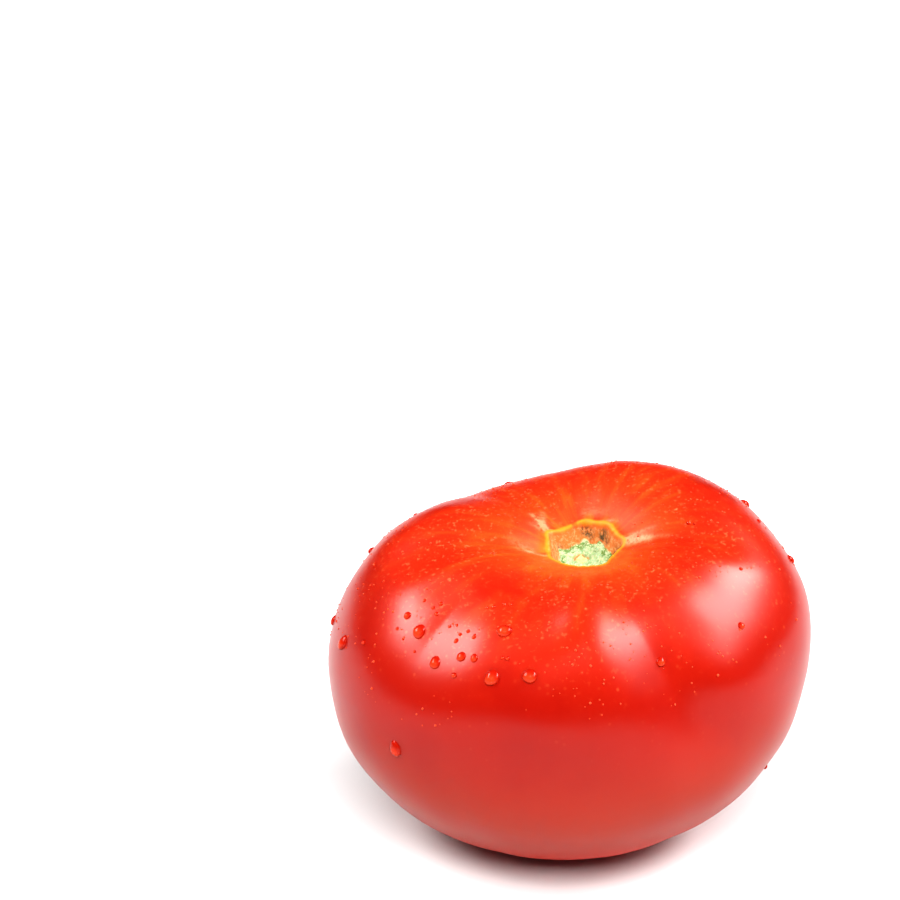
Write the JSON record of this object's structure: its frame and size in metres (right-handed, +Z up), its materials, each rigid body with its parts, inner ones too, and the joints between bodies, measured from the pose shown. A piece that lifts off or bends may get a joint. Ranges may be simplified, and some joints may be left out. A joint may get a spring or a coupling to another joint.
{
  "type": "tomato",
  "caption": "Round slicing tomato as picked, with lobed shoulders and a corky stem scar in a shallow hollow, resting upright on a small flat spot.",
  "frame": {"origin": "centre of the bounding box at its bottom, on the plane of the flat spot that the fruit rests on", "axes": "+Z up, the short way through the fruit, from the flat spot to the stem scar; +X along the longest extent; the front, where the stem's axis leans by 2 degrees, faces -Y"},
  "size_m": [0.0837, 0.079, 0.0609],
  "materials": {
    "tomato_skin": null
  },
  "bodies": {
    "root": {"tomato": "tomato_skin"}
  },
  "joints": []
}
